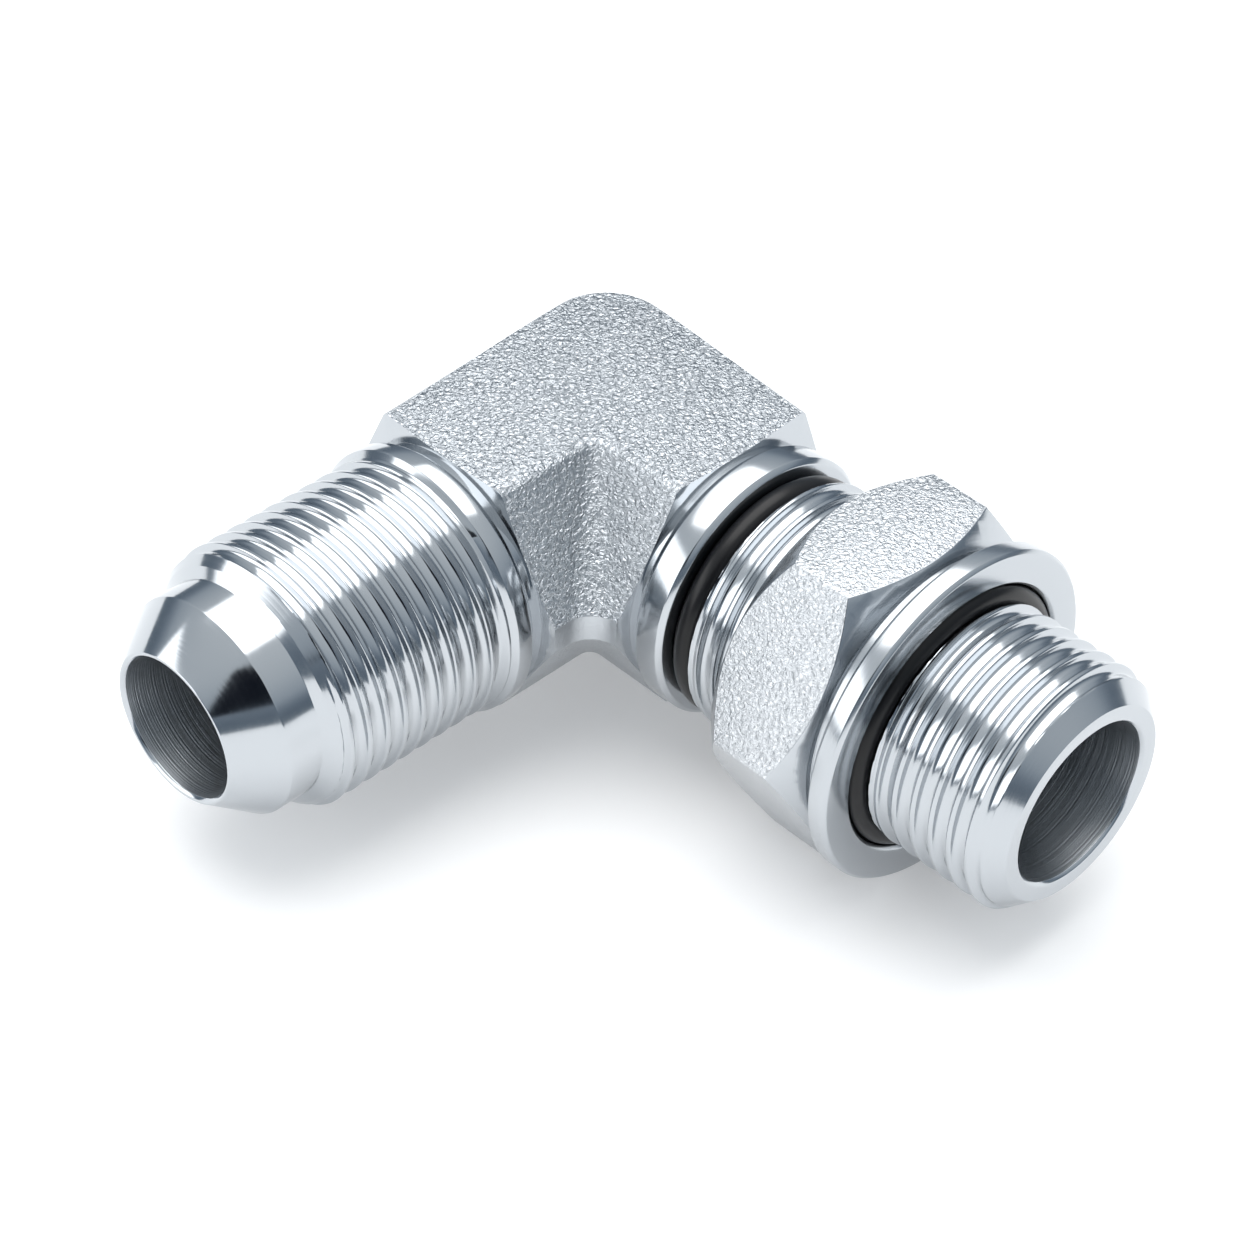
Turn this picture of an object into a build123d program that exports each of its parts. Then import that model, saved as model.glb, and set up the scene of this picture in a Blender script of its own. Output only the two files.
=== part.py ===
from build123d import *
import math
import os

# Ninety degree elbow adapter for hydraulic tube: a 37 degree flare end on one arm and an adjustable
# port stud, with its lock nut, retaining ring and O-ring, on the other. Millimetres, +Z up.
# The origin is where the centre lines of the two arms cross. The stud arm runs along +X and the
# flare arm along -Y. Lengths along an arm are counted from the origin outwards.

# Threads, by their outer radii and how far the nose and the stud's end lie below them
flare_thread_radius = 22.225 / 2
nut_thread_radius = 21.9 / 2
stud_thread_radius = 20.955 / 2
nose_depth = 1.76
stud_end_depth = 1.92

# Collar and neck that both arms are turned to, next to the forging
collar_step = 0.49
collar_chamfer = 0.4
neck_depth = 0.6
neck_rise_length = 0.6
flare_neck_length = 1.4
flare_collar_length = 1.4
stud_neck_length = 1.2
stud_collar_length = 2.1

# Forging: a drafted L with flat faces above and below and a trimmed flash band at its parting plane
shoulder_rim = 0.2
parting_rim = 1.4
back_parting_rim = 0.6
flash_half_height = 1.2
inner_face_setback = 6.3
flare_arm_back_setback = 2.65
stud_arm_back_setback = 1.55
flare_arm_back_taper = 1.55
stud_arm_back_taper = 1.7
back_corner_radius = 5.3
back_corner_parting_radius = 8.0
inner_corner_radius = 1.1
throat_radius = 2.7
forged_edge_chamfer = 0.3
flare_shoulder_land = 1.6
stud_shoulder_land = 0.2
shoulder_turning_angle = 8.0

# Flare end: thread, cylindrical nose, 37 degree cone and bore
flare_thread_length = 17.4
flare_lead_in_length = 0.9
flare_lead_in_depth = 0.9
nose_step_length = 0.5
nose_length = 3.0
nose_rim_width = 0.45
flare_angle = 37.0
flare_bore_radius = 6.05

# Stud arm behind the nut: groove of the collar O-ring and the thread that the lock nut runs on
collar_ring_section = 2.2
collar_groove_depth = 2.5
collar_groove_side_gap = 0.05
nut_thread_chamfer = 0.3
exposed_nut_thread = 5.2

# Lock nut: hexagon with a round boss that bears on the retaining ring
nut_flat_wall = 2.55
nut_hexagon_length = 9.7
nut_back_face_margin = 0.1
nut_back_chamfer_length = 2.4
nut_front_face_margin = 0.5
nut_front_chamfer_length = 1.9
nut_boss_wall = 1.6
nut_boss_length = 1.3
nut_bore_chamfer = 0.6
thread_clearance = 0.05

# Retaining ring, which clears the nut's thread, and the port O-ring inside it
ring_face_gap = 0.1
ring_bore_gap = 0.65
ring_width = 3.0
ring_thickness = 1.9
ring_edge_chamfer = 0.3
port_ring_section = 2.3
port_ring_clearance = 0.05
seat_gap = 0.02
rubber_ring_sides = 12

# Port thread, and the bore of the stud by the wall that it leaves under the groove
stud_thread_back_gap = 0.05
stud_thread_back_chamfer = 0.3
stud_thread_length = 12.35
stud_lead_in_length = 2.0
stud_groove_wall = 1.45
bore_mouth_chamfer = 0.25
drill_point_angle = 118.0

# Radii and widths that follow from what they carry or fit
collar_radius = flare_thread_radius + collar_step
neck_radius = collar_radius - neck_depth
forging_half_height = neck_radius + shoulder_rim
parting_half_width = neck_radius + parting_rim
back_half_width = neck_radius + back_parting_rim
nose_radius = flare_thread_radius - nose_depth
nose_rim_radius = flare_bore_radius + nose_rim_width
collar_groove_radius = nut_thread_radius - collar_groove_depth
stud_bore_radius = collar_groove_radius - stud_groove_wall
nut_bore_radius = nut_thread_radius + thread_clearance
nut_half_flats = nut_thread_radius + nut_flat_wall
nut_corner_radius = nut_half_flats * 2 / math.sqrt(3)
nut_boss_radius = nut_bore_radius + nut_boss_wall
ring_bore_radius = nut_thread_radius + ring_bore_gap
ring_outer_radius = ring_bore_radius + ring_width
undercut_radius = ring_bore_radius - port_ring_clearance - port_ring_section - seat_gap
stud_end_radius = stud_thread_radius - stud_end_depth

# Places along the flare arm
flare_shoulder = parting_half_width + throat_radius + flare_shoulder_land
flare_collar_back = flare_shoulder + flare_neck_length
flare_collar_front = flare_collar_back + flare_collar_length
flare_thread_start = flare_collar_front + collar_chamfer
flare_thread_end = flare_thread_start + flare_thread_length
nose_start = flare_thread_end + nose_step_length
cone_start = nose_start + nose_length
flare_tip = cone_start + (nose_radius - nose_rim_radius) / math.tan(math.radians(flare_angle))

# Places along the stud arm
stud_shoulder = parting_half_width + throat_radius + stud_shoulder_land
stud_collar_back = stud_shoulder + stud_neck_length
groove_back = stud_collar_back + stud_collar_length + collar_chamfer
collar_ring_centre = groove_back + collar_groove_side_gap + collar_ring_section / 2
nut_thread_start = groove_back + collar_ring_section + 2 * collar_groove_side_gap
nut_back = nut_thread_start + exposed_nut_thread
nut_hexagon_front = nut_back + nut_hexagon_length
nut_front = nut_hexagon_front + nut_boss_length
nut_thread_end = nut_front - (nut_thread_radius - undercut_radius)
ring_back = nut_front + ring_face_gap
ring_front = ring_back + ring_thickness
port_ring_centre = ring_back + port_ring_section / 2
stud_thread_start = ring_back + port_ring_section + stud_thread_back_gap
stud_tip = stud_thread_start + stud_thread_length

FLARE_ARM = Plane(origin=(0, 0, 0), x_dir=(0, -1, 0), z_dir=(1, 0, 0))
STUD_ARM = Plane(origin=(0, 0, 0), x_dir=(1, 0, 0), z_dir=(0, -1, 0))


def turned(arm, *corners):
    """Solid turned about an arm's centre line from corners given as (distance along it, radius)."""
    section = make_face(Polyline(*corners, close=True))
    return revolve(arm * section, Axis((0, 0, 0), arm.x_dir))


def forging_plan(height, draft, back_radius, inner_radius):
    """Outline of the L seen from above, drafted from 0 at the parting plane to 1 at the flat face.

    The two back sides of the flat face come closer to the arms' centre lines towards the shoulders.
    """
    inner = parting_half_width - draft * inner_face_setback
    back_x = back_half_width - draft * flare_arm_back_setback
    back_y = back_half_width - draft * stud_arm_back_setback
    corners = [
        (draft * flare_arm_back_taper - back_x, -flare_shoulder),
        (inner, -flare_shoulder),
        (inner, -inner),
        (stud_shoulder, -inner),
        (stud_shoulder, back_y - draft * stud_arm_back_taper),
        (-back_x, back_y),
    ]
    outline = make_face(Polyline(*corners, close=True))
    inner_corner = outline.vertices().sort_by_distance((inner, -inner, 0))[0]
    outline = fillet(inner_corner, inner_radius)
    back_corner = outline.vertices().sort_by_distance((-back_x, back_y, 0))[0]
    outline = fillet(back_corner, back_radius)
    return Pos(0, 0, height) * outline


def shoulder_facing(arm, shoulder):
    """Slightly coned ring that the turning of a shoulder takes off the forging's end."""
    reach = 2 * parting_half_width
    set_back = (reach - neck_radius) * math.tan(math.radians(shoulder_turning_angle))
    return turned(
        arm,
        (shoulder, neck_radius),
        (shoulder - set_back, reach),
        (shoulder + 1, reach),
        (shoulder + 1, neck_radius),
    )


def is_turned(edge):
    """True for the edges of the forging that lie in one of the two turned shoulders."""
    middle = edge.center()
    return math.isclose(middle.X, stud_shoulder) or math.isclose(middle.Y, -flare_shoulder)


def forging():
    top = forging_plan(forging_half_height, 1, back_corner_radius, inner_corner_radius)
    parting = forging_plan(flash_half_height, 0, back_corner_parting_radius, throat_radius)
    upper = loft([top, parting], ruled=True)
    rims = upper.edges().group_by(Axis.Z)[-1]
    upper = chamfer([edge for edge in rims if not is_turned(edge)], forged_edge_chamfer)
    flash = extrude(parting, amount=-2 * flash_half_height)
    blank = upper + flash + mirror(upper, Plane.XY)
    blank -= shoulder_facing(FLARE_ARM, flare_shoulder)
    blank -= shoulder_facing(STUD_ARM, stud_shoulder)
    return blank


def flare_end():
    return turned(
        FLARE_ARM,
        (0, 0),
        (0, neck_radius),
        (flare_collar_back - neck_rise_length, neck_radius),
        (flare_collar_back, collar_radius),
        (flare_collar_front, collar_radius),
        (flare_thread_start, flare_thread_radius),
        (flare_thread_end - flare_lead_in_length, flare_thread_radius),
        (flare_thread_end, flare_thread_radius - flare_lead_in_depth),
        (nose_start, nose_radius),
        (cone_start, nose_radius),
        (flare_tip, nose_rim_radius),
        (flare_tip, 0),
    )


def stud_end():
    return turned(
        STUD_ARM,
        (0, 0),
        (0, neck_radius),
        (stud_collar_back - neck_rise_length, neck_radius),
        (stud_collar_back, collar_radius),
        (groove_back - collar_chamfer, collar_radius),
        (groove_back, collar_radius - collar_chamfer),
        (groove_back, collar_groove_radius),
        (nut_thread_start, collar_groove_radius),
        (nut_thread_start, nut_thread_radius - nut_thread_chamfer),
        (nut_thread_start + nut_thread_chamfer, nut_thread_radius),
        (nut_thread_end, nut_thread_radius),
        (nut_front, undercut_radius),
        (stud_thread_start, undercut_radius),
        (stud_thread_start, stud_thread_radius - stud_thread_back_chamfer),
        (stud_thread_start + stud_thread_back_chamfer, stud_thread_radius),
        (stud_tip - stud_lead_in_length, stud_thread_radius),
        (stud_tip, stud_end_radius),
        (stud_tip, 0),
    )


def drilling(arm, tip, radius):
    """Drilled hole from an arm's tip to the crossing, with its drill point and chamfered mouth."""
    point_length = radius / math.tan(math.radians(drill_point_angle / 2))
    return turned(
        arm,
        (-point_length, 0),
        (0, radius),
        (tip - bore_mouth_chamfer, radius),
        (tip, radius + bore_mouth_chamfer),
        (tip + 1, radius + bore_mouth_chamfer),
        (tip + 1, 0),
    )


def elbow_body():
    body = forging() + flare_end() + stud_end()
    body -= drilling(FLARE_ARM, flare_tip, flare_bore_radius)
    body -= drilling(STUD_ARM, stud_tip, stud_bore_radius)
    return body


def nut_chamfers():
    """Turned envelope whose two cones take the corners off the hexagon."""
    back_radius = nut_half_flats - nut_back_face_margin
    front_radius = nut_half_flats - nut_front_face_margin
    back_slope = (nut_corner_radius - back_radius) / nut_back_chamfer_length
    front_slope = (nut_corner_radius - front_radius) / nut_front_chamfer_length
    rise = nut_hexagon_length * front_slope + front_radius - back_radius
    crossing = rise / (back_slope + front_slope)
    peak = (nut_back + crossing, back_radius + crossing * back_slope)
    return turned(
        STUD_ARM,
        (nut_back, 0),
        (nut_back, back_radius),
        peak,
        (nut_hexagon_front, front_radius),
        (nut_hexagon_front, 0),
    )


def lock_nut():
    hexagon = Plane.YZ.offset(nut_back) * RegularPolygon(nut_corner_radius, 6)
    nut = extrude(hexagon, amount=nut_hexagon_length) & nut_chamfers()
    boss = Plane.YZ.offset(nut_hexagon_front) * Circle(nut_boss_radius)
    nut += extrude(boss, amount=nut_boss_length)
    nut -= turned(
        STUD_ARM,
        (nut_back, 0),
        (nut_back, nut_bore_radius + nut_bore_chamfer),
        (nut_back + nut_bore_chamfer, nut_bore_radius),
        (nut_front - nut_bore_chamfer, nut_bore_radius),
        (nut_front, nut_bore_radius + nut_bore_chamfer),
        (nut_front, 0),
    )
    return nut


def backup_washer():
    return turned(
        STUD_ARM,
        (ring_back, ring_bore_radius),
        (ring_back, ring_outer_radius - ring_edge_chamfer),
        (ring_back + ring_edge_chamfer, ring_outer_radius),
        (ring_front - ring_edge_chamfer, ring_outer_radius),
        (ring_front, ring_outer_radius - ring_edge_chamfer),
        (ring_front, ring_bore_radius + ring_edge_chamfer),
        (ring_front - ring_edge_chamfer, ring_bore_radius),
    )


def o_ring(seat_radius, centre, section):
    """Rubber ring, plain and many-sided in section, that sits on a turned floor of the stud arm."""
    mean_radius = seat_radius + seat_gap + section / 2
    profile = Pos(centre, mean_radius) * RegularPolygon(section / 2, rubber_ring_sides)
    return revolve(STUD_ARM * profile, Axis.X)


PIECES = {
    "elbow_body": elbow_body(),
    "lock_nut": lock_nut(),
    "backup_washer": backup_washer(),
    "stud_o_ring": o_ring(undercut_radius, port_ring_centre, port_ring_section),
    "collar_o_ring": o_ring(collar_groove_radius, collar_ring_centre, collar_ring_section),
}

os.makedirs("parts", exist_ok=True)
for name, piece in PIECES.items():
    export_step(piece, f"parts/{name}.step")
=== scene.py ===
import math

import bmesh
import bpy
import numpy as np
from mathutils import Matrix, Vector


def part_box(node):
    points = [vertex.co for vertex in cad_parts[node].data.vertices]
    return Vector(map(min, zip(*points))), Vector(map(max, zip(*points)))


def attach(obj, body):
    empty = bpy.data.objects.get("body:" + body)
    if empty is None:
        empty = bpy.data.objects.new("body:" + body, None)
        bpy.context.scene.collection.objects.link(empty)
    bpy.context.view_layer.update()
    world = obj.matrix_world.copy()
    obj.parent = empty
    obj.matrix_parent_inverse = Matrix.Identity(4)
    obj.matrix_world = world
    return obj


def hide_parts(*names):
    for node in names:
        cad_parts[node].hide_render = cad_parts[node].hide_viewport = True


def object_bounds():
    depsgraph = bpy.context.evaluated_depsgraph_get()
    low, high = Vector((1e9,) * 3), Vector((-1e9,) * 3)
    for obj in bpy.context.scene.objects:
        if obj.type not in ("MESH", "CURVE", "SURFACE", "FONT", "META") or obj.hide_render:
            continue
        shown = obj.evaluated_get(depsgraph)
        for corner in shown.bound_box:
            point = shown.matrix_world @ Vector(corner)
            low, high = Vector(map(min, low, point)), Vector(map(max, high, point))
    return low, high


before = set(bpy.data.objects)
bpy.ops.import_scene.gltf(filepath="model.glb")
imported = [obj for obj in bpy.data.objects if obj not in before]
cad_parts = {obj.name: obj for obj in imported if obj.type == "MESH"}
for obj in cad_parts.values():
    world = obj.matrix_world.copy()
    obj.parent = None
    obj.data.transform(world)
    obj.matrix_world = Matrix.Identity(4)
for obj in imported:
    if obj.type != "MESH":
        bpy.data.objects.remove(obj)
cad_low, cad_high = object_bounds()

# Studio and camera
# The adapter lies on a flat sheet of pale paper under broad soft lights. The camera looks down on the
# bend from the open side of the L with a long lens.
paper_size = 6.0
camera_azimuth = math.radians(43.82)
camera_elevation = math.radians(41.60)
camera_roll = math.radians(2.355)
camera_place = Vector((0.16310, -0.16543, 0.18992))
camera_lens = 104.5
sensor_width = 36.0
camera_nearest = 0.01
paper_colour = (0.8, 0.8, 0.8)
paper_roughness = 0.9
paper_lift = 0.27
room_stops = [
    (0.0, (0.20, 0.25, 0.30, 1)),
    (0.12, (0.15, 0.19, 0.24, 1)),
    (0.24, (0.22, 0.27, 0.33, 1)),
    (0.36, (0.44, 0.50, 0.56, 1)),
    (0.62, (0.62, 0.67, 0.71, 1)),
    (1.0, (0.80, 0.84, 0.87, 1)),
]
# Each panel says where it lies, half its width and height, its soft edge and its light.
overhead_panel = ((-0.22, 0.12, 1.0), 0.52, 0.62, 0.06, (3.4, 3.4, 3.4))
front_strip = ((-0.488, -0.796, 0.33), 0.5, 0.26, 0.04, (2.6, 2.63, 2.66))
camera_gap = ((0.546, -0.659, 0.518), 0.27, 0.27, 0.02, (0.01, 0.013, 0.02))
panels = (overhead_panel, front_strip, camera_gap)
least_ahead = 0.001
front_side = 0.05
steep_aim = 0.9


def plain_material(name, colour, roughness):
    material = bpy.data.materials.new(name)
    material.use_nodes = True
    shader = material.node_tree.nodes["Principled BSDF"]
    shader.inputs["Base Color"].default_value = (*colour, 1)
    shader.inputs["Roughness"].default_value = roughness
    return material, material.node_tree, shader


def mesh_object(name, mesh):
    piece = bpy.data.objects.new(name, mesh)
    bpy.context.scene.collection.objects.link(piece)
    return piece


def maths_maker(nodes, links):
    """Returns a function that adds a maths node and gives back its result."""

    def maths(operation, *values, clamp=False):
        node = nodes.new("ShaderNodeMath")
        node.operation = operation
        node.use_clamp = clamp
        for socket, value in zip(node.inputs, values):
            if isinstance(value, (int, float)):
                socket.default_value = value
            else:
                links.new(value, socket)
        return node.outputs[0]

    return maths


def place_camera():
    back = Vector((
        math.sin(camera_azimuth) * math.cos(camera_elevation),
        -math.cos(camera_azimuth) * math.cos(camera_elevation),
        math.sin(camera_elevation),
    ))
    level = Vector((math.cos(camera_azimuth), math.sin(camera_azimuth), 0))
    above = back.cross(level)
    right = math.cos(camera_roll) * level + math.sin(camera_roll) * above
    up = back.cross(right)
    camera = bpy.data.objects.new("camera", bpy.data.cameras.new("camera"))
    camera.data.lens = camera_lens
    camera.data.sensor_width = sensor_width
    camera.data.clip_start = camera_nearest
    camera.matrix_world = Matrix.Translation(camera_place) @ Matrix((right, up, back)).transposed().to_4x4()
    bpy.context.scene.collection.objects.link(camera)
    bpy.context.scene.camera = camera


def lay_paper():
    half = paper_size / 2
    height = cad_low.z
    mesh = bpy.data.meshes.new("paper")
    corners = [(-half, -half, height), (half, -half, height), (half, half, height), (-half, half, height)]
    mesh.from_pydata(corners, [], [(0, 1, 2, 3)])
    paper = mesh_object("paper", mesh)
    material, tree, shader = plain_material("paper", paper_colour, paper_roughness)
    shader.inputs["Specular IOR Level"].default_value = 0
    shader.inputs["Emission Color"].default_value = (1, 1, 1, 1)
    maths = maths_maker(tree.nodes, tree.links)
    lift = maths("MULTIPLY", seen_or_mirrored(tree), paper_lift)
    tree.links.new(lift, shader.inputs["Emission Strength"])
    mesh.materials.append(material)


def softbox_group():
    """Shader group: 1 where a direction falls on a flat panel, with soft edges, and 0 elsewhere."""
    tree = bpy.data.node_groups.new("softbox", "ShaderNodeTree")
    face = tree.interface
    for label in ("Direction", "Aim", "Right", "Up"):
        face.new_socket(label, in_out="INPUT", socket_type="NodeSocketVector")
    for label in ("Half Width", "Half Height", "Edge"):
        face.new_socket(label, in_out="INPUT", socket_type="NodeSocketFloat")
    face.new_socket("Mask", in_out="OUTPUT", socket_type="NodeSocketFloat")
    nodes, links = tree.nodes, tree.links
    given = nodes.new("NodeGroupInput").outputs
    maths = maths_maker(nodes, links)

    def along(label):
        node = nodes.new("ShaderNodeVectorMath")
        node.operation = "DOT_PRODUCT"
        links.new(given["Direction"], node.inputs[0])
        links.new(given[label], node.inputs[1])
        return node.outputs["Value"]

    def within(label, half):
        offset = maths("ABSOLUTE", maths("DIVIDE", along(label), ahead))
        ramp = nodes.new("ShaderNodeMapRange")
        ramp.interpolation_type = "SMOOTHSTEP"
        links.new(offset, ramp.inputs["Value"])
        links.new(maths("SUBTRACT", half, given["Edge"]), ramp.inputs["From Min"])
        links.new(maths("ADD", half, given["Edge"]), ramp.inputs["From Max"])
        ramp.inputs["To Min"].default_value = 1
        ramp.inputs["To Max"].default_value = 0
        return ramp.outputs["Result"]

    ahead = maths("MAXIMUM", along("Aim"), least_ahead)
    inside = maths("MULTIPLY", within("Right", given["Half Width"]), within("Up", given["Half Height"]))
    in_front = maths("GREATER_THAN", ahead, front_side)
    links.new(maths("MULTIPLY", inside, in_front), nodes.new("NodeGroupOutput").inputs[0])
    return tree


SOFTBOX = softbox_group()


def seen_or_mirrored(tree):
    """1 for rays from the camera, off a mirror or through glass, and 0 for the light they give."""
    maths = maths_maker(tree.nodes, tree.links)
    path = tree.nodes.new("ShaderNodeLightPath")
    total = path.outputs["Is Camera Ray"]
    for label in ("Is Glossy Ray", "Is Transmission Ray"):
        total = maths("MAXIMUM", total, path.outputs[label])
    return total


def light_world():
    """Dim room with a bright overhead panel, a low strip in front and a dark gap by the camera."""
    world = bpy.data.worlds.new("studio")
    bpy.context.scene.world = world
    world.use_nodes = True
    nodes, links = world.node_tree.nodes, world.node_tree.links
    direction = nodes.new("ShaderNodeTexCoord").outputs["Generated"]
    split = nodes.new("ShaderNodeSeparateXYZ")
    links.new(direction, split.inputs[0])
    room = nodes.new("ShaderNodeValToRGB")
    room.color_ramp.interpolation = "B_SPLINE"
    stops = room.color_ramp.elements
    stops[0].position, stops[0].color = room_stops[0]
    stops[1].position, stops[1].color = room_stops[-1]
    for position, colour in room_stops[1:-1]:
        stops.new(position).color = colour
    links.new(split.outputs["Z"], room.inputs[0])
    light = room.outputs["Color"]
    for aim, half_width, half_height, edge, colour in panels:
        aim = Vector(aim).normalized()
        right = aim.cross((0, 0, 1)).normalized() if abs(aim.z) < steep_aim else Vector((1, 0, 0))
        right = (right - aim * aim.dot(right)).normalized()
        panel = nodes.new("ShaderNodeGroup")
        panel.node_tree = SOFTBOX
        links.new(direction, panel.inputs["Direction"])
        panel.inputs["Aim"].default_value = aim
        panel.inputs["Right"].default_value = right
        panel.inputs["Up"].default_value = right.cross(aim)
        panel.inputs["Half Width"].default_value = half_width
        panel.inputs["Half Height"].default_value = half_height
        panel.inputs["Edge"].default_value = edge
        blend = nodes.new("ShaderNodeMix")
        blend.data_type = "RGBA"
        links.new(panel.outputs[0], blend.inputs["Factor"])
        links.new(light, blend.inputs["A"])
        blend.inputs["B"].default_value = (*colour, 1)
        light = blend.outputs["Result"]
    path = nodes.new("ShaderNodeLightPath")
    backdrop = nodes.new("ShaderNodeMix")
    backdrop.data_type = "RGBA"
    links.new(path.outputs["Is Camera Ray"], backdrop.inputs["Factor"])
    links.new(light, backdrop.inputs["A"])
    backdrop.inputs["B"].default_value = (1, 1, 1, 1)
    links.new(backdrop.outputs["Result"], nodes["Background"].inputs["Color"])


place_camera()
lay_paper()
light_world()
bpy.context.scene.view_settings.view_transform = "Standard"

# Flare end
# The tube's nut screws on here and pulls the flared tube over the 37 degree cone. It is one with
# the forging: turned from its end, threaded and drilled, then plated with bright zinc.
MM = 0.001
flare_shoulder = 16.7025
neck_radius = 11.0025
neck_length = 0.8
neck_rise = 0.6
collar_radius = 11.6025
collar_chamfer = 0.4
flare_thread_start = 19.9025
flare_thread_end = 37.3025
flare_thread_radius = 22.225 / 2
flare_lead_in = 0.9
nose_radius = 9.3525
nose_start = 37.8025
cone_start = 40.8025
flare_tip = 44.5879
nose_rim_radius = 6.5
flare_bore_radius = 6.05
mouth_chamfer = 0.25
into_forging = 0.5
segments = 144
corner_round = 0.07
corner_share = 0.3
turned_crease = 32
pitch = 25.4 / 14
thread_depth = 0.62
crest_share = 0.17
valley_power = 3.6
flare_start_fade = 0.7
flare_end_fade = 0.6
rows_a_turn = 32
weld_distance = 0.000001
zinc_colour = (0.50, 0.525, 0.55)
turned_roughness = 0.11
bored_roughness = 0.36
ring_lines = 7000
lines_along = 20
bored_lines_along = 30
ring_spread = 0.08
ring_detail = 3
mottle_scale = 500
mottle_spread = 0.10
mottle_detail = 4
flare_ring_height = 0.002
bored_ring_height = 0.04
bore_margin = 0.02


def rounded(outline):
    """Outline with each inner corner cut to a small arc of three points."""
    points = [np.array(outline[0])]
    for before, here, after in zip(outline, outline[1:], outline[2:]):
        before, here, after = np.array(before), np.array(here), np.array(after)
        reach_in, reach_out = np.linalg.norm(before - here), np.linalg.norm(after - here)
        start = here + (before - here) * min(corner_round / reach_in, corner_share)
        end = here + (after - here) * min(corner_round / reach_out, corner_share)
        points += [start, (start + 2 * here + end) / 4, end]
    points.append(np.array(outline[-1]))
    return points


def turned_blank(name, outlines):
    """Surface turned about +X from open outlines of (along, radius) in mm."""
    angle = np.arange(segments) * 2 * math.pi / segments
    vertices, faces = [], []
    for outline in outlines:
        first = len(vertices)
        points = rounded(outline)
        for along, radius in points:
            circle = np.stack([np.full(segments, along), radius * np.cos(angle), radius * np.sin(angle)], -1)
            vertices.extend((circle * MM).tolist())
        for row in range(len(points) - 1):
            for turn in range(segments):
                here, onward = first + row * segments, (turn + 1) % segments
                faces.append((here + turn, here + onward, here + segments + onward, here + segments + turn))
    mesh = bpy.data.meshes.new(name)
    mesh.from_pydata(vertices, [], faces)
    return mesh_object(name, mesh)


def outward(mesh):
    work = bmesh.new()
    work.from_mesh(mesh)
    bmesh.ops.recalc_face_normals(work, faces=work.faces)
    work.to_mesh(mesh)
    work.free()


def soften(mesh, crease_degrees):
    mesh.shade_smooth()
    mesh.set_sharp_from_angle(angle=math.radians(crease_degrees))


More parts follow.
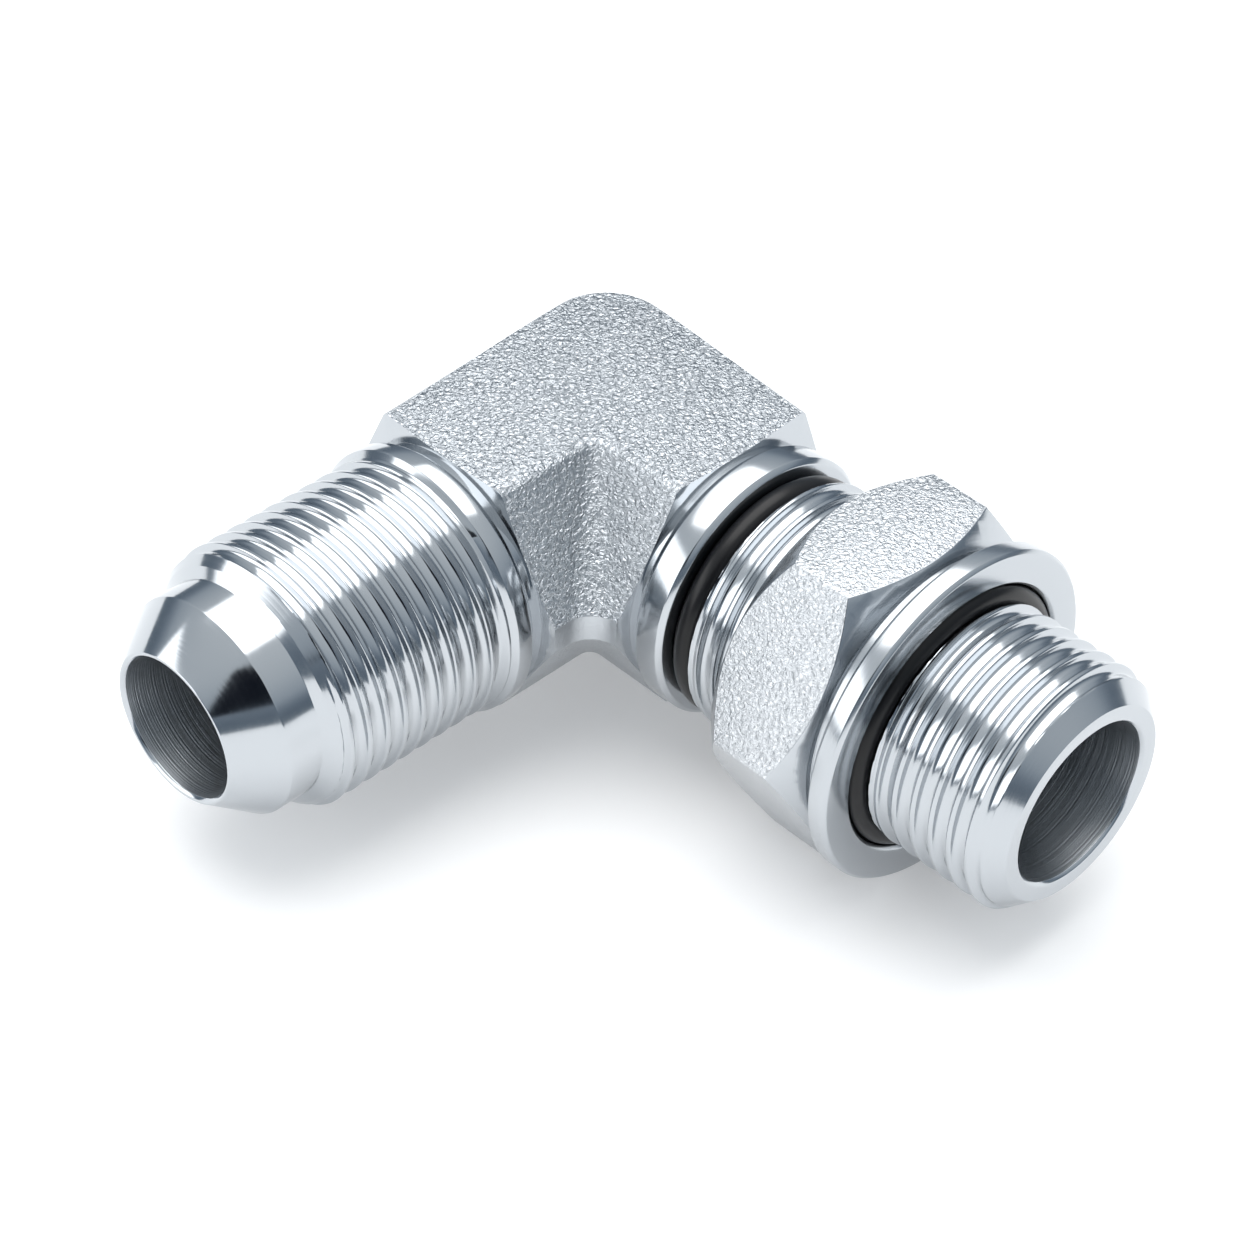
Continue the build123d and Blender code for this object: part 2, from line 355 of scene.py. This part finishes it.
def thread_tree():
    """Geometry nodes that wind a right-hand thread about +X and weld it into a turned blank.

    The rows of the grid follow the helix, so each crest is one unbroken line. Rows that pass either
    end of the thread close up there onto the blank's own circle.
    """
    tree = bpy.data.node_groups.new("wind_thread", "GeometryNodeTree")
    face = tree.interface
    face.new_socket("Blank", in_out="INPUT", socket_type="NodeSocketGeometry")
    for label in (
        "Start", "End", "Pitch", "Outer Radius", "Start Radius", "End Radius", "End Slope",
        "Depth", "Crest Share", "Valley Power", "Start Fade", "End Fade",
    ):
        face.new_socket(label, in_out="INPUT", socket_type="NodeSocketFloat")
    for label in ("Segments", "Rows A Turn"):
        face.new_socket(label, in_out="INPUT", socket_type="NodeSocketInt")
    face.new_socket("Material", in_out="INPUT", socket_type="NodeSocketMaterial")
    face.new_socket("Piece", in_out="OUTPUT", socket_type="NodeSocketGeometry")
    nodes, links = tree.nodes, tree.links
    given = nodes.new("NodeGroupInput").outputs
    maths = maths_maker(nodes, links)

    length = maths("SUBTRACT", given["End"], given["Start"])
    turns = maths("ADD", maths("CEIL", maths("DIVIDE", length, given["Pitch"])), 1)
    grid = nodes.new("GeometryNodeMeshGrid")
    grid.inputs["Size X"].default_value = 1
    grid.inputs["Size Y"].default_value = 1
    links.new(maths("ADD", given["Segments"], 1), grid.inputs["Vertices X"])
    links.new(maths("MULTIPLY_ADD", turns, given["Rows A Turn"], 1), grid.inputs["Vertices Y"])
    split = nodes.new("ShaderNodeSeparateXYZ")
    links.new(nodes.new("GeometryNodeInputPosition").outputs[0], split.inputs[0])
    around = maths("ADD", split.outputs["X"], 0.5)
    wound = maths("MULTIPLY", maths("ADD", split.outputs["Y"], 0.5), turns)
    advance = maths("MULTIPLY", maths("SUBTRACT", maths("ADD", wound, around), 1), given["Pitch"])
    advance = maths("MINIMUM", maths("MAXIMUM", advance, 0), length)
    left = maths("SUBTRACT", length, advance)

    from_valley = maths("ABSOLUTE", maths("MULTIPLY_ADD", maths("FRACT", wound), 2, -1))
    flank = maths("DIVIDE", from_valley, maths("SUBTRACT", 1, given["Crest Share"]), clamp=True)
    groove = maths("SUBTRACT", 1, maths("POWER", flank, given["Valley Power"]))
    fade_in = maths("DIVIDE", advance, given["Start Fade"], clamp=True)
    fade_out = maths("DIVIDE", left, given["End Fade"], clamp=True)
    cut = maths("MULTIPLY", maths("MULTIPLY", groove, given["Depth"]), maths("MULTIPLY", fade_in, fade_out))
    cut_radius = maths("SUBTRACT", given["Outer Radius"], cut)
    start_cone = maths("ADD", given["Start Radius"], advance)
    end_cone = maths("MULTIPLY_ADD", left, given["End Slope"], given["End Radius"])
    radius = maths("MINIMUM", cut_radius, maths("MINIMUM", start_cone, end_cone))

    angle = maths("MULTIPLY", around, 2 * math.pi)
    wind = nodes.new("ShaderNodeCombineXYZ")
    links.new(maths("ADD", given["Start"], advance), wind.inputs["X"])
    links.new(maths("MULTIPLY", radius, maths("COSINE", angle)), wind.inputs["Y"])
    links.new(maths("MULTIPLY", radius, maths("SINE", angle)), wind.inputs["Z"])
    place = nodes.new("GeometryNodeSetPosition")
    links.new(grid.outputs["Mesh"], place.inputs["Geometry"])
    links.new(wind.outputs[0], place.inputs["Position"])
    join = nodes.new("GeometryNodeJoinGeometry")
    links.new(place.outputs[0], join.inputs[0])
    links.new(given["Blank"], join.inputs[0])
    weld = nodes.new("GeometryNodeMergeByDistance")
    weld.inputs["Distance"].default_value = weld_distance
    links.new(join.outputs[0], weld.inputs["Geometry"])
    realize = nodes.new("GeometryNodeRealizeInstances")
    links.new(weld.outputs[0], realize.inputs[0])
    finish = nodes.new("GeometryNodeSetMaterial")
    links.new(realize.outputs[0], finish.inputs["Geometry"])
    links.new(given["Material"], finish.inputs["Material"])
    links.new(finish.outputs[0], nodes.new("NodeGroupOutput").inputs[0])
    return tree


THREAD = thread_tree()


def wind_thread(
    piece, material, start, end, outer, start_radius, end_radius, end_slope, start_fade, end_fade
):
    """Runs the thread tree on a blank and leaves the result as a plain mesh."""
    values = {
        "Start": start * MM,
        "End": end * MM,
        "Pitch": pitch * MM,
        "Outer Radius": outer * MM,
        "Start Radius": start_radius * MM,
        "End Radius": end_radius * MM,
        "End Slope": end_slope,
        "Depth": thread_depth * MM,
        "Crest Share": crest_share,
        "Valley Power": valley_power,
        "Start Fade": start_fade * MM,
        "End Fade": end_fade * MM,
        "Segments": segments,
        "Rows A Turn": rows_a_turn,
        "Material": material,
    }
    modifier = piece.modifiers.new("wind_thread", "NODES")
    modifier.node_group = THREAD
    for item in THREAD.interface.items_tree:
        if item.in_out == "INPUT" and item.name in values:
            modifier[item.identifier] = values[item.name]
    mesh = bpy.data.meshes.new_from_object(piece.evaluated_get(bpy.context.evaluated_depsgraph_get()))
    piece.modifiers.remove(modifier)
    piece.data = mesh


def tool_marks():
    """Shader group: the fine rings that a tool leaves square to an axis, and a soft mottle."""
    tree = bpy.data.node_groups.new("tool_marks", "ShaderNodeTree")
    face = tree.interface
    face.new_socket("Stretch", in_out="INPUT", socket_type="NodeSocketVector")
    for label in ("Roughness", "Ring Spread", "Mottle Spread"):
        face.new_socket(label, in_out="INPUT", socket_type="NodeSocketFloat")
    face.new_socket("Height", in_out="OUTPUT", socket_type="NodeSocketFloat")
    face.new_socket("Roughness", in_out="OUTPUT", socket_type="NodeSocketFloat")
    nodes, links = tree.nodes, tree.links
    given = nodes.new("NodeGroupInput").outputs
    put = nodes.new("NodeGroupOutput").inputs
    maths = maths_maker(nodes, links)
    place = nodes.new("ShaderNodeTexCoord").outputs["Object"]
    stretch = nodes.new("ShaderNodeVectorMath")
    stretch.operation = "MULTIPLY"
    links.new(place, stretch.inputs[0])
    links.new(given["Stretch"], stretch.inputs[1])
    rings = nodes.new("ShaderNodeTexNoise")
    rings.inputs["Scale"].default_value = 1
    rings.inputs["Detail"].default_value = ring_detail
    links.new(stretch.outputs[0], rings.inputs["Vector"])
    mottle = nodes.new("ShaderNodeTexNoise")
    mottle.inputs["Scale"].default_value = mottle_scale
    mottle.inputs["Detail"].default_value = mottle_detail
    links.new(place, mottle.inputs["Vector"])
    spread = maths("MULTIPLY_ADD", rings.outputs["Fac"], given["Ring Spread"], given["Roughness"])
    links.new(rings.outputs["Fac"], put["Height"])
    links.new(maths("MULTIPLY_ADD", mottle.outputs["Fac"], given["Mottle Spread"], spread), put["Roughness"])
    return tree


TOOL_MARKS = tool_marks()


def machined_zinc(name, stretch, roughness, ring_height, colour=zinc_colour):
    material, tree, shader = plain_material(name, colour, roughness)
    shader.inputs["Metallic"].default_value = 1
    marks = tree.nodes.new("ShaderNodeGroup")
    marks.node_tree = TOOL_MARKS
    marks.inputs["Stretch"].default_value = stretch
    marks.inputs["Roughness"].default_value = roughness - ring_spread
    marks.inputs["Ring Spread"].default_value = ring_spread
    marks.inputs["Mottle Spread"].default_value = mottle_spread
    raised = tree.nodes.new("ShaderNodeBump")
    raised.inputs["Strength"].default_value = 1
    raised.inputs["Distance"].default_value = ring_height * MM
    tree.links.new(marks.outputs["Height"], raised.inputs["Height"])
    tree.links.new(raised.outputs["Normal"], shader.inputs["Normal"])
    tree.links.new(marks.outputs["Roughness"], shader.inputs["Roughness"])
    return material


def mark_bore(mesh, material, axis, radius):
    """Gives the wall of a bore along an axis its own material."""
    mesh.materials.append(material)
    across = [index for index in range(3) if index != axis]
    for polygon in mesh.polygons:
        if math.hypot(*(polygon.center[index] for index in across)) < (radius + bore_margin) * MM:
            polygon.material_index = len(mesh.materials) - 1


FLARE_ZINC = machined_zinc(
    "flare_zinc", (lines_along, ring_lines, lines_along), turned_roughness, flare_ring_height
)
FLARE_BORE_ZINC = machined_zinc(
    "flare_bore_zinc", (bored_lines_along, ring_lines, bored_lines_along), bored_roughness, bored_ring_height
)

flare_end = turned_blank("flare_end", [[
    (flare_thread_end, flare_thread_radius - flare_lead_in),
    (nose_start, nose_radius),
    (cone_start, nose_radius),
    (flare_tip, nose_rim_radius),
    (flare_tip, flare_bore_radius + mouth_chamfer),
    (flare_tip - mouth_chamfer, flare_bore_radius),
    (flare_shoulder - into_forging, flare_bore_radius),
    (flare_shoulder - into_forging, neck_radius),
    (flare_shoulder + neck_length, neck_radius),
    (flare_shoulder + neck_length + neck_rise, collar_radius),
    (flare_thread_start - collar_chamfer, collar_radius),
    (flare_thread_start, flare_thread_radius),
]])
wind_thread(
    flare_end, FLARE_ZINC, flare_thread_start, flare_thread_end, flare_thread_radius,
    start_radius=flare_thread_radius, end_radius=flare_thread_radius - flare_lead_in, end_slope=1,
    start_fade=flare_start_fade, end_fade=flare_end_fade,
)
flare_end.data.transform(Matrix.Rotation(-math.pi / 2, 4, "Z"))
outward(flare_end.data)
soften(flare_end.data, turned_crease)
mark_bore(flare_end.data, FLARE_BORE_ZINC, 1, flare_bore_radius)
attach(flare_end, "elbow")
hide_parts("elbow_body")

# Stud end
# Behind the nut lie a groove for an O-ring and the nut's own thread. In front of it come an
# undercut for the port O-ring and the port thread. It is turned on the forging's other end.
stud_shoulder = 15.3025
stud_neck_length = 0.6
groove_back = 19.0025
groove_radius = 8.45
nut_thread_start = 21.3025
nut_thread_end = 35.7825
nut_thread_radius = 21.9 / 2
undercut_start = 37.5025
undercut_radius = 9.23
stud_thread_start = 39.9525
stud_thread_radius = 20.955 / 2
thread_back_chamfer = 0.3
stud_lead_in_length = 2.0
stud_tip = 52.3025
stud_end_radius = 8.5575
stud_bore_radius = 7.0
stud_fade = 0.5
tip_fade = 1.2
stud_roughness = 0.14
stud_ring_height = 0.003

STUD_ZINC = machined_zinc(
    "stud_zinc", (ring_lines, lines_along, lines_along), stud_roughness, stud_ring_height
)
STUD_BORE_ZINC = machined_zinc(
    "stud_bore_zinc", (ring_lines, bored_lines_along, bored_lines_along),
    bored_roughness, bored_ring_height,
)

stud_end = turned_blank("stud_end", [
    [
        (stud_tip, stud_end_radius),
        (stud_tip, stud_bore_radius + mouth_chamfer),
        (stud_tip - mouth_chamfer, stud_bore_radius),
        (stud_shoulder - into_forging, stud_bore_radius),
        (stud_shoulder - into_forging, neck_radius),
        (stud_shoulder + stud_neck_length, neck_radius),
        (stud_shoulder + stud_neck_length + neck_rise, collar_radius),
        (groove_back - collar_chamfer, collar_radius),
        (groove_back, collar_radius - collar_chamfer),
        (groove_back, groove_radius),
        (nut_thread_start, groove_radius),
        (nut_thread_start, nut_thread_radius - thread_back_chamfer),
    ],
    [
        (nut_thread_end, nut_thread_radius),
        (undercut_start, undercut_radius),
        (stud_thread_start, undercut_radius),
        (stud_thread_start, stud_thread_radius - thread_back_chamfer),
    ],
])
wind_thread(
    stud_end, STUD_ZINC, nut_thread_start, nut_thread_end, nut_thread_radius,
    start_radius=nut_thread_radius - thread_back_chamfer, end_radius=nut_thread_radius, end_slope=0,
    start_fade=stud_fade, end_fade=stud_fade,
)
wind_thread(
    stud_end, STUD_ZINC, stud_thread_start, stud_tip, stud_thread_radius,
    start_radius=stud_thread_radius - thread_back_chamfer, end_radius=stud_end_radius,
    end_slope=(stud_thread_radius - stud_end_radius) / stud_lead_in_length,
    start_fade=stud_fade, end_fade=tip_fade,
)
outward(stud_end.data)
soften(stud_end.data, turned_crease)
mark_bore(stud_end.data, STUD_BORE_ZINC, 0, stud_bore_radius)
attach(stud_end, "elbow")
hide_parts("elbow_body")

# Forging
# A drop-forged L of steel with the grain of the die on its faces, trimmed to a plain band at the
# parting line and faced at both ends. Both bores are drilled through to the corner.
forged_roughness = 0.30
forged_edge_round = 0.12
flash_half_height = 1.2
grain_scale = 2500
grain_height = 0.3
grain_detail = 2.5
grain_falloff = 0.6
grain_distortion = 0.8
trimmed_scale = 900
trimmed_height = 0.05
trimmed_roughness = 0.3
flat_degrees = 0.5
bevel_steps = 3
forged_least_degrees = 18
forged_crease = 30
cut_clear = 0.001
cut_precision = 0.0000001
bore_wall_reach = 0.1
face_reach = 1
facing = 0.97
flash_reach = 0.05


def cad_copy(node):
    """Working copy of a CAD solid with the corners of its triangles welded."""
    work = bmesh.new()
    work.from_mesh(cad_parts[node].data)
    bmesh.ops.remove_doubles(work, verts=work.verts, dist=weld_distance)
    return work


def finish_copy(work, name):
    """Joins the triangles that lie in one plane and leaves the copy as a piece of the scene."""
    bmesh.ops.dissolve_limit(
        work, angle_limit=math.radians(flat_degrees), verts=work.verts, edges=work.edges
    )
    mesh = bpy.data.meshes.new(name)
    work.to_mesh(mesh)
    work.free()
    return mesh_object(name, mesh)


def round_edges(piece, width, least_degrees):
    bevel = piece.modifiers.new("edges", "BEVEL")
    bevel.width = width * MM
    bevel.segments = bevel_steps
    bevel.limit_method = "ANGLE"
    bevel.angle_limit = math.radians(least_degrees)
    piece.data = bpy.data.meshes.new_from_object(
        piece.evaluated_get(bpy.context.evaluated_depsgraph_get())
    )
    piece.modifiers.clear()


def grained_zinc(name, scale, height, roughness, colour=zinc_colour):
    """Zinc over a face that a die left with worm-like pebbles."""
    material, tree, shader = plain_material(name, colour, roughness)
    shader.inputs["Metallic"].default_value = 1
    place = tree.nodes.new("ShaderNodeTexCoord")
    grain = tree.nodes.new("ShaderNodeTexNoise")
    grain.inputs["Scale"].default_value = scale
    grain.inputs["Detail"].default_value = grain_detail
    grain.inputs["Roughness"].default_value = grain_falloff
    grain.inputs["Distortion"].default_value = grain_distortion
    raised = tree.nodes.new("ShaderNodeBump")
    raised.inputs["Strength"].default_value = 1
    raised.inputs["Distance"].default_value = height * MM
    tree.links.new(place.outputs["Object"], grain.inputs["Vector"])
    tree.links.new(grain.outputs["Fac"], raised.inputs["Height"])
    tree.links.new(raised.outputs["Normal"], shader.inputs["Normal"])
    return material


FORGED_ZINC = grained_zinc("forged_zinc", grain_scale, grain_height, forged_roughness)
TRIMMED_ZINC = grained_zinc("trimmed_zinc", trimmed_scale, trimmed_height, trimmed_roughness)

forged = cad_copy("elbow_body")
shoulders = (((stud_shoulder, 0, 0), (1, 0, 0)), ((0, -flare_shoulder, 0), (0, -1, 0)))
for face_point, face_normal in shoulders:
    everything = forged.verts[:] + forged.edges[:] + forged.faces[:]
    point = (Vector(face_point) + Vector(face_normal) * cut_clear) * MM
    bmesh.ops.bisect_plane(
        forged, geom=everything, dist=cut_precision, plane_co=point, plane_no=face_normal, clear_outer=True
    )
    bmesh.ops.bridge_loops(forged, edges=[edge for edge in forged.edges if edge.is_boundary])
forging = finish_copy(forged, "forging")
round_edges(forging, forged_edge_round, forged_least_degrees)
outward(forging.data)
forging_zincs = (FORGED_ZINC, TRIMMED_ZINC, STUD_ZINC, STUD_BORE_ZINC, FLARE_BORE_ZINC)
for material in forging_zincs:
    forging.data.materials.append(material)
for polygon in forging.data.polygons:
    centre, normal = polygon.center / MM, polygon.normal
    stud_face = centre.x > stud_shoulder - face_reach and normal.x > facing
    flare_face = centre.y < face_reach - flare_shoulder and normal.y < -facing
    if math.hypot(centre.y, centre.z) < stud_bore_radius + bore_wall_reach:
        polygon.material_index = forging_zincs.index(STUD_BORE_ZINC)
    elif math.hypot(centre.x, centre.z) < flare_bore_radius + bore_wall_reach:
        polygon.material_index = forging_zincs.index(FLARE_BORE_ZINC)
    elif stud_face or flare_face:
        polygon.material_index = forging_zincs.index(STUD_ZINC)
    elif abs(centre.z) < flash_half_height + flash_reach:
        polygon.material_index = forging_zincs.index(TRIMMED_ZINC)
soften(forging.data, forged_crease)
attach(forging, "elbow")
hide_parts("elbow_body")

# Lock nut
# A hexagon nut, hot pressed and then turned: its flats keep a fine grain, and its two chamfers
# and the boss that bears on the ring are turned. It holds the ring against the port.
nut_edge_round = 0.22
nut_least_degrees = 25
nut_crease = 30
nut_colour = (0.57, 0.59, 0.61)
nut_grain_scale = 2900
nut_grain_height = 0.16
nut_grain_roughness = 0.3
nut_turned_roughness = 0.2
nut_ring_height = 0.006
broad_lines_along = 60
most_axial = 0.3
flat_reach = 0.2

NUT_ZINC = grained_zinc("nut_zinc", nut_grain_scale, nut_grain_height, nut_grain_roughness, nut_colour)
NUT_TURNED_ZINC = machined_zinc(
    "nut_turned_zinc", (ring_lines, broad_lines_along, broad_lines_along),
    nut_turned_roughness, nut_ring_height,
)

nut = finish_copy(cad_copy("lock_nut"), "hexagon_nut")
nut_flat_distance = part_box("lock_nut")[1].z
round_edges(nut, nut_edge_round, nut_least_degrees)
outward(nut.data)
for material in (NUT_TURNED_ZINC, NUT_ZINC):
    nut.data.materials.append(material)
for polygon in nut.data.polygons:
    height_over_axis = Vector((0, polygon.center.y, polygon.center.z)).length
    faces_sideways = abs(polygon.normal.x) < most_axial
    far_out = height_over_axis > nut_flat_distance - flat_reach * MM
    polygon.material_index = int(faces_sideways and far_out)
soften(nut.data, nut_crease)
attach(nut, "nut")
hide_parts("lock_nut")

# Retaining ring
# A plain turned ring that backs the port O-ring and bears on the face of the port. It lies loose
# between the nut's boss and the O-ring.
ring_back, ring_front = 37.6025, 39.5025
ring_bore, ring_outside = 11.6, 14.6
ring_chamfer = 0.3
ring_seam = ring_front - 0.9
ring_roughness = 0.18
turning_height = 0.005

RING_ZINC = machined_zinc(
    "ring_zinc", (ring_lines, broad_lines_along, broad_lines_along), ring_roughness, turning_height
)

ring = turned_blank("ring", [[
    (ring_seam, ring_outside),
    (ring_front - ring_chamfer, ring_outside),
    (ring_front, ring_outside - ring_chamfer),
    (ring_front, ring_bore + ring_chamfer),
    (ring_front - ring_chamfer, ring_bore),
    (ring_back, ring_bore),
    (ring_back, ring_outside - ring_chamfer),
    (ring_back + ring_chamfer, ring_outside),
    (ring_seam, ring_outside),
]])
ring_work = bmesh.new()
ring_work.from_mesh(ring.data)
bmesh.ops.remove_doubles(ring_work, verts=ring_work.verts, dist=weld_distance)
ring_work.to_mesh(ring.data)
ring_work.free()
outward(ring.data)
ring.data.materials.append(RING_ZINC)
soften(ring.data, turned_crease)
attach(ring, "retaining_ring")
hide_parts("backup_washer")

# O-rings
# Two moulded rings of black rubber. One sits in the groove by the collar, and one on the
# undercut, inside the retaining ring, where it seals the port.
rubber_colour = (0.006, 0.006, 0.007)
rubber_roughness = 0.3
rubber_shine = 0.3
collar_section = 2.2
port_section = 2.3
section_steps = 36

RUBBER, _, rubber_shader = plain_material("black_rubber", rubber_colour, rubber_roughness)
rubber_shader.inputs["Specular IOR Level"].default_value = rubber_shine


def rubber_ring(name, node, section):
    low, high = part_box(node)
    thickness = section / 2 * MM
    centre = (low.x + high.x) / 2
    mean = high.y - thickness
    vertices = []
    for turn in range(segments):
        angle = turn * 2 * math.pi / segments
        for step in range(section_steps):
            bend = step * 2 * math.pi / section_steps
            radius = mean + thickness * math.cos(bend)
            along = centre + thickness * math.sin(bend)
            vertices.append((along, radius * math.cos(angle), radius * math.sin(angle)))
    faces = []
    for turn in range(segments):
        for step in range(section_steps):
            here = turn * section_steps
            following = (turn + 1) % segments * section_steps
            onward = (step + 1) % section_steps
            faces.append((here + step, here + onward, following + onward, following + step))
    mesh = bpy.data.meshes.new(name)
    mesh.from_pydata(vertices, [], faces)
    outward(mesh)
    mesh.shade_smooth()
    mesh.materials.append(RUBBER)
    piece = mesh_object(name, mesh)
    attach(piece, "elbow")
    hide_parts(node)


rubber_ring("collar_seal", "collar_o_ring", collar_section)
rubber_ring("port_seal", "stud_o_ring", port_section)
